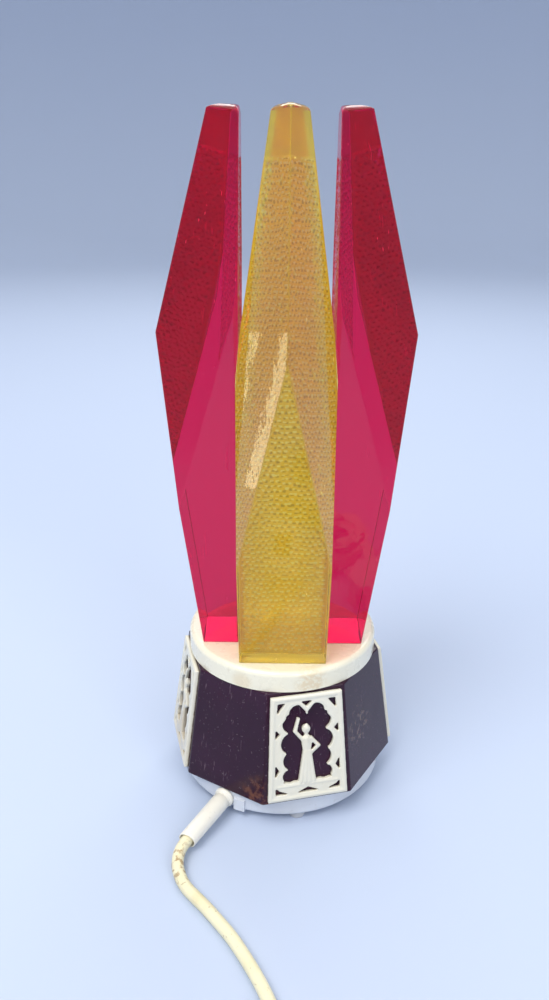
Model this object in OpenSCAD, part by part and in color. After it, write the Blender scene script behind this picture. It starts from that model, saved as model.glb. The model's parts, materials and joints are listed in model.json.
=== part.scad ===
// Table night-lamp: four cut acrylic petals on a round top plate, over an octagonal skirt
// with fretwork plaques, a round base tray, a small screw-in bulb inside and a mains cord.
// Millimetres, +Z up, the front of the lamp towards -Y, origin on the lamp's axis at the
// level that its feet stand on. An azimuth is measured from the front, positive to the right.

/* [Overall] */
// Height of the petal tips above the floor
total_h = 285; // [270:1:300]
// Azimuth of the first plaque face of the octagon, in degrees
skirt_turn = 14; // [8:1:20]

/* [Petals] */
// Distance of a petal's inner face from the axis, at its foot
petal_in_foot = 19; // [18:0.5:20]
// Distance of a petal's inner face from the axis, at its tip
petal_in_tip = 18; // [16:0.5:20]
// Distance of a petal's outer face from the axis, at its foot
petal_out_foot = 34; // [33:0.5:35]
// Distance of the widest point of the ridge from the axis
petal_ridge = 51.8; // [48:0.2:54]
// Height of the widest point of the ridge
petal_ridge_z = 203; // [195:1:210]
// Distance of the ridge's top end from the axis
petal_tip = 30; // [28:0.5:33]
// Width of a petal at its foot
petal_w_foot = 36; // [34:0.5:37]
// Width of a petal's side faces at the ridge's height
petal_w_ridge = 39.4; // [36:0.2:42]
// Half width of an amber petal's two facets on its inner face, at the ridge's height
cut_amber = 18; // [16:0.5:20]
// Half width of a ruby petal's two facets on its inner face, at the ridge's height
cut_ruby = 22.6; // [20:0.2:25]
// Depth of the tenon that stands in the plate's window
tenon_d = 6.5; // [5:0.5:8]

/* [Top plate] */
// Radius of the top plate
plate_r = 41.4; // [41:0.2:43]
// Height of the top plate's rim
plate_h = 9; // [8:0.5:10]
// Thickness of the top plate's disc
plate_t = 4; // [3:0.5:5]
// Radius of the rounding at the rim's top edge
plate_round = 2.2; // [1:0.2:3]

/* [Skirt] */
// Height of the skirt's lower edge above the floor
skirt_z = 12.5; // [12:0.5:13]
// Height of the skirt
skirt_h = 51; // [48:1:54]
// Corner radius of the octagon at the skirt's lower edge
skirt_foot_r = 51.1; // [50.8:0.1:51.6]
// Corner radius of the octagon at the skirt's upper edge
skirt_head_r = 43.4; // [43.2:0.1:44]
// Wall thickness of the skirt
skirt_t = 2.2; // [1.8:0.1:2.4]

/* [Fretwork plaques] */
// Width of a plaque at its lower edge
plaque_w_foot = 35; // [33:0.5:36]
// Width of a plaque at its upper edge
plaque_w_head = 30.4; // [29:0.2:31]
// Height of a plaque along the face
plaque_h = 48.4; // [46:0.2:49]
// Thickness of a plaque
plaque_t = 2.2; // [1.6:0.2:3]
// Width of a plaque's frame
plaque_bar = 2.6; // [2.2:0.2:2.8]

/* [Base tray] */
// Radius of the base tray
tray_r = 46; // [45.6:0.2:46.6]
// Height of the tray's underside above the floor
tray_z = 3; // [2.8:0.1:3.4]
// Thickness of the tray's floor
tray_t = 2.2; // [1.8:0.1:2.2]
// Azimuth of the first foot, in degrees
foot_turn = 10; // [5:1:15]

/* [Cord] */
// Diameter of the mains cord
cord_d = 5; // [4.6:0.1:5.1]
// Azimuth at which the cord leaves the tray, in degrees
exit_turn = -31.5; // [-33:0.5:-30]
// Length of the sleeve outside the gland's flange
sleeve_l = 26; // [24:0.5:28]

/* [Lampholder and bulb] */
// Outer radius of the lampholder's body
holder_r = 13; // [12.5:0.1:14]
// Height of the lampholder's body
holder_h = 27; // [26:0.5:28]
// Greatest radius of the bulb's glass
bulb_r = 11.5; // [10.5:0.5:11.5]

/* [Cord switch and plug] */
// Length of the cord switch
switch_l = 50; // [48:1:50]
// Width of the cord switch
switch_w = 20; // [19:0.5:22]
// Tilt of the rocker each way from level, in degrees
rocker_tilt = 10; // [6:1:11]
// Length of the plug's body
plug_l = 40; // [38:1:42]
// Length of a plug pin outside the body
pin_l = 19; // [18:0.5:19]

/* [Hidden] */

$fn = 48;
eps = 0.01;
amber = [0.93, 0.75, 0.12];
ruby = [0.62, 0.05, 0.16];
cream = [0.93, 0.90, 0.80];
aubergine = [0.17, 0.08, 0.20];

// Heights that follow from the driving sizes
plate_z = skirt_z + skirt_h;
deck_z = plate_z + plate_h;
floor_z = tray_z + tray_t;

// Tie rods stand between the petals
rod_place = 34;
rod_r = 1.45;
rod_top = plate_z + 3;
// Keeps each petal in its own quarter, clear of its neighbours
petal_gap = 0.3;

// The octagon's faces
apothem_ratio = cos(22.5);
face_foot = skirt_foot_r * apothem_ratio;
face_head = skirt_head_r * apothem_ratio;
face_lean = atan((face_foot - face_head) / skirt_h);
face_l = skirt_h / cos(face_lean);

// Height of the straight sill in a plaque's opening
sill_y = 8.4;

// Lampholder heights
bridge_z = 10.6;
strap_t = 1.5;
holder_z = bridge_z + strap_t;
shell_z = holder_z + 10.5;
cap_z = shell_z + 3.4;
glass_z = cap_z + 16.5;

// Cord exit: the axis leaves the tray's wall at this height and drops by this angle
exit_z = 7.8;
exit_drop = 5.6;
flange_t = 2.4;

// The cord from inside the sleeve's mouth, past the lamp's front, to the switch
cord_front_route = [
    [-34.5, -56, 5.9], [-38.7, -63, 5.1], [-41, -68.5, 4.4], [-41.3, -74, 3.5],
    [-39.8, -79.5, 2.8], [-36.8, -85, 2.5], [-33, -89.5, 2.5], [-28.5, -94.5, 2.5],
    [-23.2, -101, 2.5], [-18.2, -107.5, 2.5], [-14, -114, 2.5], [-10.2, -120.5, 2.5],
    [-7, -126.5, 2.5], [-4.2, -132.5, 2.5], [-1.6, -139.5, 3], [-0.3, -146, 4.2],
    [0, -152, 5]
];
// The cord from the switch to the coil
cord_middle_route = [
    [0, -202, 5], [-0, -205.4, 4.6], [-0.1, -209, 3.8], [-0.3, -212.7, 3],
    [-0.5, -216.5, 2.6], [-1, -220.4, 2.5]
];
// The cord from the coil to the plug
cord_tail_route = [
    [58.5, -236, 17.1], [58.5, -230, 15.2], [58.5, -223, 12.2], [58.5, -216, 9.8],
    [58.5, -210, 8.7], [58.5, -206, 8.5]
];

// The wound coil
coil_at = [27, -241];
coil_rows = 4;
coil_turns = 3;
coil_in_r = 19;

// Cord switch and plug, on the floor past the lamp's front
switch_y = -177;
switch_split = 5;
switch_h = 12.5;
switch_wall = 1.6;
pivot_z = 9.6;
rocker_w = 9;
plug_at = [58.5, -206];
plug_half = 8.5;
pin_gap = 19;
pin_r = 2;
shank_r = 1.6;

// Turns a thing that faces the front to an azimuth
module at_azimuth(a) {
    rotate([0, 0, a]) children();
}

// Places a thing's local +Z on the cord's axis where it leaves the tray
module on_exit() {
    at_azimuth(exit_turn) translate([0, -tray_r, exit_z]) rotate([90 + exit_drop, 0, 0]) children();
}

module hex_prism(across, h) {
    cylinder(d = across / cos(30), h = h, $fn = 6);
}

// A flat outline with rounded corners, centred
module rounded_plan(l, w, r) {
    square([l - 2 * r, w], center = true);
    square([l, w - 2 * r], center = true);
    for (sx = [-1, 1], sy = [-1, 1]) {
        translate([sx * (l / 2 - r), sy * (w / 2 - r)]) circle(r = r);
    }
}

// ---- Petals -------------------------------------------------------------------------

// Everything on the outer side of one slanting facet, which holds the ridge line
module facet_cut(side, half_w) {
    reach = petal_ridge - petal_in_foot;
    slope_u = half_w / reach;
    slope_z = slope_u * (petal_ridge - petal_tip) / (total_h - petal_ridge_z);
    normal = [side, -slope_u, slope_z];
    translate([0, -petal_ridge, petal_ridge_z])
        rotate([0, acos(slope_z / norm(normal)), atan2(normal[1], normal[0])])
            translate([-150, -150, 0]) cube([300, 300, 60]);
}

module petal_side_outline() {
    polygon([
        [-petal_in_foot, deck_z], [-petal_out_foot, deck_z], [-petal_ridge, petal_ridge_z],
        [-petal_tip, total_h], [-petal_in_tip, total_h]
    ]);
}

module petal_front_outline() {
    foot = petal_w_foot / 2;
    flare = (petal_w_ridge / 2 - foot) / (petal_ridge_z - deck_z);
    head = foot + flare * (total_h - deck_z);
    polygon([[-foot, deck_z], [foot, deck_z], [head, total_h], [-head, total_h]]);
}

module petal(half_w) {
    difference() {
        intersection() {
            translate([-30, 0, 0]) rotate([90, 0, 90]) linear_extrude(60) petal_side_outline();
            translate([0, -10, 0]) rotate([90, 0, 0]) linear_extrude(50) petal_front_outline();
            translate([0, 0, deck_z - 1]) linear_extrude(total_h) {
                polygon([[0, -petal_gap], [60, -60 - petal_gap], [-60, -60 - petal_gap]]);
            }
        }
        facet_cut(-1, half_w);
        facet_cut(1, half_w);
    }
    tenon(0, tenon_d);
}

// The block under a petal, or its window in the plate when it is grown by a gap
module tenon(gap, depth) {
    w = petal_w_foot - 5 + 2 * gap;
    l = petal_out_foot - petal_in_foot - 4 + 2 * gap;
    translate([-w / 2, -petal_out_foot + 2 - gap, deck_z - depth]) cube([w, l, depth + 1]);
}

module petal_front() { color(amber, 0.6) petal(cut_amber); }
module petal_right() { color(ruby, 0.7) at_azimuth(90) petal(cut_ruby); }
module petal_back() { color(amber, 0.6) at_azimuth(180) petal(cut_amber); }
module petal_left() { color(ruby, 0.7) at_azimuth(-90) petal(cut_ruby); }

// ---- Top plate ----------------------------------------------------------------------

module top_plate() {
    lip_r = face_head - skirt_t - 0.3;
    lip_t = 1.6;
    boss_r = 3.4;
    color(cream) difference() {
        union() {
            rotate_extrude($fn = 96) plate_profile(lip_r, lip_t);
            for (k = [0:3]) {
                at_azimuth(45 + 90 * k) translate([0, -rod_place, plate_z - 3])
                    cylinder(r = boss_r, h = plate_h - plate_t + 3 + eps);
            }
        }
        for (k = [0:3]) {
            at_azimuth(90 * k) tenon(0.15, plate_h);
            at_azimuth(45 + 90 * k) translate([0, -rod_place, plate_z - 4])
                cylinder(r = rod_r + 0.05, h = rod_top - plate_z + 4.5);
        }
        for (k = [0:5]) {
            at_azimuth(60 * k) translate([0, -10, deck_z - plate_t - 1]) cylinder(r = 1.8, h = plate_t + 2);
        }
    }
}

module plate_profile(lip_r, lip_t) {
    translate([0, deck_z - plate_t]) square([plate_r - plate_round, plate_t]);
    translate([lip_r - lip_t, plate_z]) square([plate_r - lip_r + lip_t, plate_h - plate_round]);
    translate([lip_r - lip_t, plate_z - 3]) square([lip_t, 3 + eps]);
    translate([plate_r - plate_round, deck_z - plate_round]) circle(r = plate_round);
}

// ---- Skirt --------------------------------------------------------------------------

// Eight leaning faces around a solid core, pushed inwards by a gap
module octagon_core(gap) {
    difference() {
        translate([0, 0, skirt_z - 1]) cylinder(r = 60, h = skirt_h + 2);
        for (k = [0:7]) {
            at_azimuth(skirt_turn + 45 * k) translate([0, -face_foot + gap, skirt_z])
                rotate([-face_lean, 0, 0]) translate([-60, -40, -40]) cube([120, 40, 140]);
        }
    }
}

module skirt() {
    color(aubergine) intersection() {
        difference() {
            octagon_core(0);
            octagon_core(skirt_t);
        }
        translate([-60, -60, skirt_z]) cube([120, 120, skirt_h]);
    }
}

// ---- Fretwork plaques ---------------------------------------------------------------

// Puts a flat thing, drawn with X across and Y up the face, onto a face of the octagon
module on_face(a) {
    at_azimuth(a) translate([0, -face_foot, skirt_z]) rotate([90 - face_lean, 0, 0]) children();
}

// A straight limb between two points, a little longer at each end
module limb(p, q, w) {
    d = q - p;
    translate(p) rotate([0, 0, atan2(d[1], d[0])]) translate([-w / 3, -w / 2]) square([norm(d) + w / 1.5, w]);
}

function plaque_half(y) = (plaque_w_foot + (plaque_w_head - plaque_w_foot) * y / plaque_h) / 2;

module plaque_blank() {
    polygon([
        [-plaque_half(0), 0], [plaque_half(0), 0],
        [plaque_half(plaque_h), plaque_h], [-plaque_half(plaque_h), plaque_h]
    ]);
}

// The draped opening: lobes that meet in cusps, over a straight sill
module plaque_opening() {
    polygon([
        [-11, sill_y], [11, sill_y], [6, 14], [6, 36], [3.4, 41.5], [0, 39.4],
        [-3.4, 41.5], [-6, 36], [-6, 14]
    ]);
    for (s = [-1, 1]) {
        translate([s * 4, 40.4]) circle(r = 3.6, $fn = 32);
        translate([s * 5.6, 35.8]) circle(r = 4.9, $fn = 32);
        translate([s * 6, 26.6]) circle(r = 5.3, $fn = 32);
        translate([s * 5.6, 18.6]) circle(r = 4.9, $fn = 32);
        translate([s * 7.6, sill_y + 3]) circle(r = 3.3, $fn = 32);
    }
}

// Small three-cornered holes between the drapes and the frame
module plaque_piercings() {
    b = plaque_bar + 0.4;
    polygon([[-2.6, plaque_h - b], [2.6, plaque_h - b], [0, plaque_h - b - 2.6]]);
    polygon([[-5.4, b], [5.4, b], [0, b + 2.4]]);
    for (s = [-1, 1]) {
        polygon([[s * 9, 45.4], [s * 12.4, 45.4], [s * 12.8, 40.4]]);
        polygon([[s * 13.6, 34], [s * 13.8, 29.2], [s * 11.6, 31.4]]);
        polygon([[s * 14, 17.6], [s * 14.3, 11.2], [s * 12.2, 14.2]]);
        polygon([[s * 8, b], [s * 14.2, b], [s * 14.2, 6.6], [s * 12.4, 5]]);
    }
}

// A plain standing figure: head, one arm raised, one hand on the hip, and a long dress
module figure() {
    linear_extrude(plaque_t + 0.2) translate([-0.4, 32.6]) circle(r = 1.8, $fn = 24);
    linear_extrude(plaque_t - 0.3) limb([-0.4, 31.6], [-0.2, 28], 1.7);
    linear_extrude(plaque_t + 0.1) polygon([
        [-2.7, 28.6], [2.3, 28.6], [1.5, 22.6], [3.8, sill_y - 1], [-4.2, sill_y - 1], [-1.9, 22.6]
    ]);
    linear_extrude(plaque_t - 0.2) limb([-2.2, 27.9], [-5.2, 32], 1.5);
    linear_extrude(plaque_t - 0.4) limb([-5.2, 32], [-3.6, 37.4], 1.4);
    linear_extrude(plaque_t - 0.2) limb([1.8, 27.9], [5, 24], 1.5);
    linear_extrude(plaque_t - 0.4) limb([5, 24], [1.4, 20.8], 1.4);
}

module plaque(a) {
    color(cream) on_face(a) translate([0, (face_l - plaque_h) / 2, 0]) {
        linear_extrude(plaque_t) difference() {
            plaque_blank();
            plaque_opening();
            plaque_piercings();
        }
        figure();
    }
}

module plaque_front() { plaque(skirt_turn); }
module plaque_right() { plaque(skirt_turn + 90); }
module plaque_back() { plaque(skirt_turn + 180); }
module plaque_left() { plaque(skirt_turn - 90); }

// ---- Base tray, feet and tie rods ---------------------------------------------------

// Places a thing on the feet's circle
module at_foot(k) {
    at_azimuth(foot_turn + 90 * k) translate([0, -tray_r + 5, 0]) children();
}

module tray_profile() {
    edge = 2;
    wall_out = face_foot - skirt_t - 0.6;
    wall_t = 2;
    translate([0, tray_z]) square([tray_r - edge, tray_t]);
    translate([tray_r - edge, tray_z + edge]) circle(r = edge);
    translate([wall_out - wall_t, tray_z + edge]) square([tray_r - wall_out + wall_t, skirt_z - tray_z - edge]);
    translate([wall_out - wall_t, skirt_z - eps]) square([wall_t, 3.5]);
}

module base_tray() {
    color([0.84, 0.85, 0.88]) difference() {
        union() {
            rotate_extrude($fn = 96) tray_profile();
            gland_boss();
        }
        for (k = [0:3]) {
            at_azimuth(45 + 90 * k) translate([0, -rod_place, tray_z - 1]) cylinder(r = 1.7, h = tray_t + 2);
            at_foot(k) translate([0, 0, tray_z - 1]) cylinder(r = 1.55, h = tray_t + 2);
        }
        for (k = [0:7]) {
            at_azimuth(22.5 + 45 * k) translate([0, -20, tray_z - 1]) cylinder(r = 2, h = tray_t + 2);
        }
        on_exit() translate([0, 0, -6]) cylinder(r = 3.65, h = 12);
        for (s = [-1, 1]) {
            translate([s * 19, 0, tray_z - 1]) cylinder(r = 1.3, h = tray_t + 2);
            clamp_frame() translate([s * 7, 0, tray_z - 1]) cylinder(r = 1.1, h = tray_t + 2);
        }
    }
}

// A small block beside the cord's exit, moulded on the tray's wall
module gland_boss() {
    at_azimuth(exit_turn + 9) translate([-2.5, -tray_r - 1.2, tray_z + 0.6]) cube([5, 4, 5.6]);
}

module feet() {
    color([0.78, 0.79, 0.80]) for (k = [0:3]) {
        at_foot(k) {
            cylinder(r = 3.6, h = tray_z);
            translate([0, 0, tray_z - eps]) cylinder(r = 1.5, h = tray_t);
        }
    }
}

module tie_rods() {
    color("silver") for (k = [0:3]) {
        at_azimuth(45 + 90 * k) translate([0, -rod_place, 0.8]) cylinder(r = rod_r, h = rod_top - 0.8);
    }
}

module tie_nuts() {
    color("silver") for (k = [0:3]) {
        at_azimuth(45 + 90 * k) translate([0, -rod_place, 1]) difference() {
            hex_prism(5.5, tray_z - 1);
            translate([0, 0, -1]) cylinder(r = rod_r + 0.05, h = 5);
        }
    }
}

// ---- Lampholder ---------------------------------------------------------------------

module holder_bracket() {
    w = 16;
    leg = 13;
    color("silver") difference() {
        union() {
            translate([-leg, -w / 2, bridge_z]) cube([2 * leg, w, strap_t]);
            for (s = [-1, 1]) {
                translate([s * (leg - strap_t / 2) - strap_t / 2, -w / 2, floor_z])
                    cube([strap_t, w, holder_z - floor_z]);
                translate([s > 0 ? leg - strap_t : -leg - 11, -w / 2, floor_z]) cube([12.5, w, strap_t]);
            }
        }
        translate([0, 0, bridge_z - 1]) cylinder(r = 4.75, h = strap_t + 2);
        for (s = [-1, 1]) {
            translate([s * 19, 0, floor_z - 1]) cylinder(r = 1.7, h = strap_t + 2);
        }
    }
}

module bracket_screws() {
    color("silver") for (s = [-1, 1]) {
        translate([s * 19, 0, floor_z + strap_t]) {
            translate([0, 0, -strap_t - tray_t + 0.3]) cylinder(r = 1.25, h = strap_t + tray_t);
            screw_head(2.6, 1.6);
        }
    }
}

// A pan head with its slot
module screw_head(r, h) {
    difference() {
        cylinder(r = r, h = h);
        translate([-r - 1, -0.3, h - 0.7]) cube([2 * r + 2, 0.6, 1]);
    }
}

module holder_nipple() {
    color("silver") translate([0, 0, bridge_z - 2.9]) difference() {
        cylinder(r = 4.7, h = 9.8);
        translate([0, 0, -1]) cylinder(r = 3.6, h = 13);
    }
}

module nipple_nut() {
    color("silver") translate([0, 0, bridge_z - 2.8]) difference() {
        hex_prism(13, 2.8);
        translate([0, 0, -1]) cylinder(r = 4.75, h = 5);
    }
}

module holder_body() {
    wall = 2;
    color([0.12, 0.11, 0.10]) translate([0, 0, holder_z]) difference() {
        cylinder(r = holder_r, h = holder_h);
        translate([0, 0, 3]) cylinder(r = holder_r - wall, h = holder_h);
        translate([0, 0, -1]) cylinder(r = 4.75, h = 6);
    }
}

module holder_insert() {
    color([0.90, 0.89, 0.85]) translate([0, 0, shell_z - 4.8]) difference() {
        cylinder(r = holder_r - 2.1, h = 4.8);
        for (s = [-1, 1]) {
            translate([s * 5.2, 0, -1]) cylinder(r = 1.1, h = 7);
        }
    }
}

module holder_shell() {
    color([0.80, 0.66, 0.33]) translate([0, 0, shell_z]) difference() {
        union() {
            cylinder(r = 7.7, h = 15);
            cylinder(r = 9.4, h = 0.8);
        }
        translate([0, 0, -1]) cylinder(r = 7.2, h = 17);
    }
}

module centre_contact() {
    color([0.80, 0.66, 0.33]) {
        translate([-4.4, -1.6, shell_z]) cube([8.8, 3.2, 0.5]);
        translate([3.9, -1.6, shell_z]) cube([0.5, 3.2, 1.6]);
        translate([-1.6, -1.6, shell_z + 1.2]) cube([6, 3.2, 0.5]);
    }
}

// ---- Bulb ---------------------------------------------------------------------------

module bulb_cap() {
    color("silver") translate([0, 0, cap_z]) difference() {
        union() {
            translate([0, 0, -1.7]) cylinder(r1 = 1.8, r2 = 2.2, h = 1.8);
            cylinder(r1 = 3, r2 = 6.9, h = 2.4);
            translate([0, 0, 2.4 - eps]) cylinder(r = 6.9, h = 15);
        }
        translate([0, 0, 3]) cylinder(r = 6.3, h = 20);
    }
}

module bulb_profile(r, neck) {
    centre = 14;
    translate([0, centre]) circle(r = r);
    polygon([[0, 0], [neck, 0], [neck, 3.2], [r * cos(12), centre - r * sin(12)], [0, centre]]);
}

module bulb_glass() {
    wall = 0.7;
    color([0.9, 0.9, 0.9], 0.3) translate([0, 0, glass_z - 2]) rotate_extrude($fn = 64) {
        difference() {
            intersection() {
                bulb_profile(bulb_r, 6.2);
                translate([0, 0]) square([20, 40]);
            }
            intersection() {
                translate([0, wall]) bulb_profile(bulb_r - wall, 6.2 - wall);
                translate([-1, -1]) square([20, 40]);
            }
        }
    }
}

module bulb_mount() {
    color([0.7, 0.7, 0.72]) translate([0, 0, glass_z - 1]) {
        cylinder(r = 2.2, h = 7);
        for (s = [-1, 1]) {
            translate([s * 1.4, 0, 6]) cylinder(r = 0.3, h = 6);
        }
        translate([-5, 0, 12]) rotate([0, 90, 0]) cylinder(r = 0.3, h = 10);
    }
}

// ---- Cord inside the base -----------------------------------------------------------

// The clamp's own frame, in line with the cord's exit
module clamp_frame() {
    at_azimuth(exit_turn) translate([0, -26, 0]) children();
}

module cord_clamp() {
    color([0.85, 0.83, 0.76]) clamp_frame() difference() {
        translate([-9.5, -3, floor_z]) cube([19, 6, 6.4]);
        translate([0, 5, exit_z]) rotate([90, 0, 0]) cylinder(r = cord_d / 2 + 0.05, h = 10);
        translate([-cord_d / 2, -5, floor_z - 1]) cube([cord_d, 10, exit_z - floor_z + 1]);
        for (s = [-1, 1]) {
            translate([s * 7, 0, floor_z - 1]) cylinder(r = 1.5, h = 9);
        }
    }
}

module clamp_screws() {
    color("silver") clamp_frame() for (s = [-1, 1]) {
        translate([s * 7, 0, floor_z + 6.4]) {
            translate([0, 0, -6.4 - tray_t + 0.3]) cylinder(r = 1.05, h = 6.4 + tray_t);
            screw_head(2.2, 1.4);
        }
    }
}

module inner_cord() {
    color([0.92, 0.88, 0.70]) at_azimuth(exit_turn) translate([0, -20.6, exit_z]) rotate([90, 0, 0])
        cylinder(r = cord_d / 2, h = 20.8);
}

// Two insulated wires from the cord's cut end, under the bridge and up through the nipple
module inner_wires() {
    color([0.75, 0.12, 0.10]) for (s = [-1, 1]) {
        route = [
            [-10.2 + s * 1.2, -16.7 - s * 0.7, 7.6], [-7.7 + s * 1.3, -12.9, 6.9],
            [-4 + s * 1.4, -8, 6.5], [-0.4 + s * 1.5, -3.5, 6.5], [s * 1.6, -0.6, 7.6],
            [s * 1.7, 0, 10], [s * 1.7, 0, 13], [s * 1.9, 0, 16]
        ];
        tube(route, 0.8, 8, [1, 0, 0]);
    }
}

// ---- Cord outside -------------------------------------------------------------------

function unit(v) = v / norm(v);
function heading(p, k) = unit(p[min(k + 1, len(p) - 1)] - p[max(k - 1, 0)]);
function ring_at(c, t, ref, r, n) =
    let (a = unit(cross(t, ref)), b = cross(a, t))
    [for (j = [0:n - 1]) c + r * (cos(360 * j / n) * a + sin(360 * j / n) * b)];

// A closed round tube swept along a route
module tube(p, r, n, ref) {
    last = (len(p) - 1) * n;
    points = [for (k = [0:len(p) - 1]) each ring_at(p[k], heading(p, k), ref, r, n)];
    sides = [
        for (k = [0:len(p) - 2], j = [0:n - 1])
            let (a = k * n, m = (j + 1) % n)
            each [[a + j, a + m, a + n + j], [a + m, a + n + m, a + n + j]]
    ];
    caps = [[for (j = [n - 1:-1:0]) j], [for (j = [0:n - 1]) last + j]];
    polyhedron(points = points, faces = concat(sides, caps));
}

module cord_gland() {
    color(cream) on_exit() difference() {
        union() {
            translate([0, 0, -4]) cylinder(r = 3.6, h = 5);
            translate([0, 0, 0.3]) cylinder(r = 4.5, h = flange_t);
        }
        translate([0, 0, -5]) cylinder(r = cord_d / 2 + 0.1, h = 10);
    }
}

module cord_sleeve() {
    color(cream) on_exit() translate([0, 0, 0.3 + flange_t]) difference() {
        cylinder(r1 = 3.9, r2 = 3.6, h = sleeve_l);
        translate([0, 0, -1]) cylinder(r = 3.1, h = sleeve_l + 2);
    }
}

module cord_front() { color([0.93, 0.90, 0.72]) tube(cord_front_route, cord_d / 2, 10, [0, 0, 1]); }
module cord_middle() { color([0.93, 0.90, 0.72]) tube(cord_middle_route, cord_d / 2, 10, [0, 0, 1]); }
module cord_tail() { color([0.93, 0.90, 0.72]) tube(cord_tail_route, cord_d / 2, 10, [0, 0, 1]); }

module cord_coil() {
    h = coil_rows * cord_d;
    w = coil_turns * cord_d;
    color([0.93, 0.90, 0.72]) translate([coil_at[0], coil_at[1], 0]) rotate_extrude($fn = 64) {
        translate([coil_in_r + w / 2, h / 2]) rounded_plan(w, h, 2);
    }
}

// A band around the coil's turns, on the side away from the lamp
module cord_tie() {
    h = coil_rows * cord_d;
    w = coil_turns * cord_d;
    t = 0.8;
    gap = 0.4;
    color([0.2, 0.2, 0.22]) translate([coil_at[0], coil_at[1] - coil_in_r - w / 2, 0]) {
        for (s = [-1, 1]) {
            translate([-3, s * (w / 2 + gap + t / 2) - t / 2, 0.3]) cube([6, t, h + gap + t - 0.3]);
        }
        translate([-3, -w / 2 - gap - t, h + gap]) cube([6, w + 2 * gap + 2 * t, t]);
    }
}

// ---- Cord switch --------------------------------------------------------------------

module switch_shell(z0, h, top) {
    r = 6;
    t = switch_wall;
    inner = top ? z0 - 1 : z0 + t;
    translate([0, switch_y, 0]) difference() {
        translate([0, 0, z0]) linear_extrude(h) rounded_plan(switch_w, switch_l, r);
        translate([0, 0, inner]) linear_extrude(h + 1 - t) rounded_plan(switch_w - 2 * t, switch_l - 2 * t, r - t);
        translate([0, switch_l / 2 + 1, switch_split]) rotate([90, 0, 0])
            cylinder(r = cord_d / 2 + 0.1, h = switch_l + 2);
    }
}

// Places a thing at each of the two screws
module at_switch_screws() {
    for (s = [-1, 1]) {
        translate([s * 6, switch_y + s * 18, 0]) children();
    }
}

module switch_base() {
    color(cream) difference() {
        union() {
            switch_shell(0, switch_split, false);
            at_switch_screws() cylinder(r = 2.2, h = switch_split);
        }
        at_switch_screws() translate([0, 0, -1]) cylinder(r = 1.35, h = switch_split + 2);
        at_switch_screws() translate([0, 0, -1]) cylinder(r = 2.1, h = 2.2);
    }
}

module switch_cover() {
    opening = 18.6;
    color(cream) difference() {
        union() {
            switch_shell(switch_split, switch_h - switch_split, true);
            at_switch_screws() translate([0, 0, switch_split]) cylinder(r = 2.2, h = switch_h - switch_split - 1);
        }
        translate([-rocker_w / 2 - 0.4, switch_y - opening / 2, switch_split])
            cube([rocker_w + 0.8, opening, switch_h]);
        at_switch_screws() translate([0, 0, switch_split - 1]) cylinder(r = 1.2, h = 6);
        translate([-switch_w / 2 + 0.8, switch_y, pivot_z]) rotate([0, 90, 0])
            cylinder(r = 0.82, h = switch_w - 1.6);
    }
}

module switch_rocker() {
    color([0.55, 0.10, 0.10]) translate([0, switch_y, pivot_z]) rotate([-rocker_tilt, 0, 0]) difference() {
        translate([-rocker_w / 2, 0, 0]) rotate([90, 0, 90]) linear_extrude(rocker_w) {
            polygon([[-8, 1.2], [8, 1.2], [8, 4.8], [0, 3.6], [-8, 4.8]]);
            circle(r = 2);
        }
        translate([-10, 0, 0]) rotate([0, 90, 0]) cylinder(r = 0.85, h = 20);
    }
}

module switch_pin() {
    color("silver") translate([-switch_w / 2 + 1, switch_y, pivot_z]) rotate([0, 90, 0])
        cylinder(r = 0.8, h = switch_w - 2);
}

module switch_screws() {
    color("silver") at_switch_screws() {
        translate([0, 0, 1]) cylinder(r = 1.15, h = 8.5);
        translate([0, 0, 0.2]) cylinder(r = 2, h = 1);
    }
}

module switch_contacts() {
    color([0.80, 0.66, 0.33]) for (s = [-1, 1]) {
        translate([s * 6.6 - 0.3, switch_y - 5, switch_wall]) cube([0.6, 10, 3.6]);
    }
}

// ---- Plug ---------------------------------------------------------------------------

module plug_plan() {
    translate([0, plug_l - 16.5]) circle(r = 16.5);
    polygon([[-6, 0], [6, 0], [15.5, plug_l - 22], [-15.5, plug_l - 22]]);
    translate([-14, plug_l - 12]) square([28, 12]);
}

module plug_shell(z0) {
    translate([plug_at[0], plug_at[1], 0]) difference() {
        translate([0, 0, z0]) linear_extrude(plug_half) plug_plan();
        translate([0, 8, plug_half]) rotate([-90, 0, 0]) cylinder(r = 4.4, h = plug_l - 22);
        translate([0, -1, plug_half]) rotate([-90, 0, 0]) cylinder(r = cord_d / 2 + 0.1, h = 10);
        for (s = [-1, 1]) {
            translate([s * pin_gap / 2, plug_l - 13, plug_half]) rotate([-90, 0, 0])
                cylinder(r = shank_r + 0.03, h = 14);
        }
        translate([0, plug_l - 6, -1]) cylinder(r = 1.5, h = 20);
        translate([0, plug_l - 6, 2 * plug_half - 2]) cylinder(r = 2.8, h = 3);
    }
}

module plug_lower() { color(cream) plug_shell(0); }
module plug_upper() { color(cream) plug_shell(plug_half); }

module plug_pins() {
    color("silver") for (s = [-1, 1]) {
        translate([plug_at[0] + s * pin_gap / 2, plug_at[1] + plug_l - 12, plug_half]) rotate([-90, 0, 0]) {
            cylinder(r = shank_r, h = 12.5);
            translate([0, 0, 12]) cylinder(r = pin_r, h = pin_l - pin_r);
            translate([0, 0, 12 + pin_l - pin_r]) sphere(r = pin_r);
        }
    }
}

module plug_screw() {
    color("silver") translate([plug_at[0], plug_at[1] + plug_l - 6, 2]) {
        cylinder(r = 1.45, h = 2 * plug_half - 3.5);
        translate([0, 0, 2 * plug_half - 4]) screw_head(2.6, 1.7);
    }
}

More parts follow.
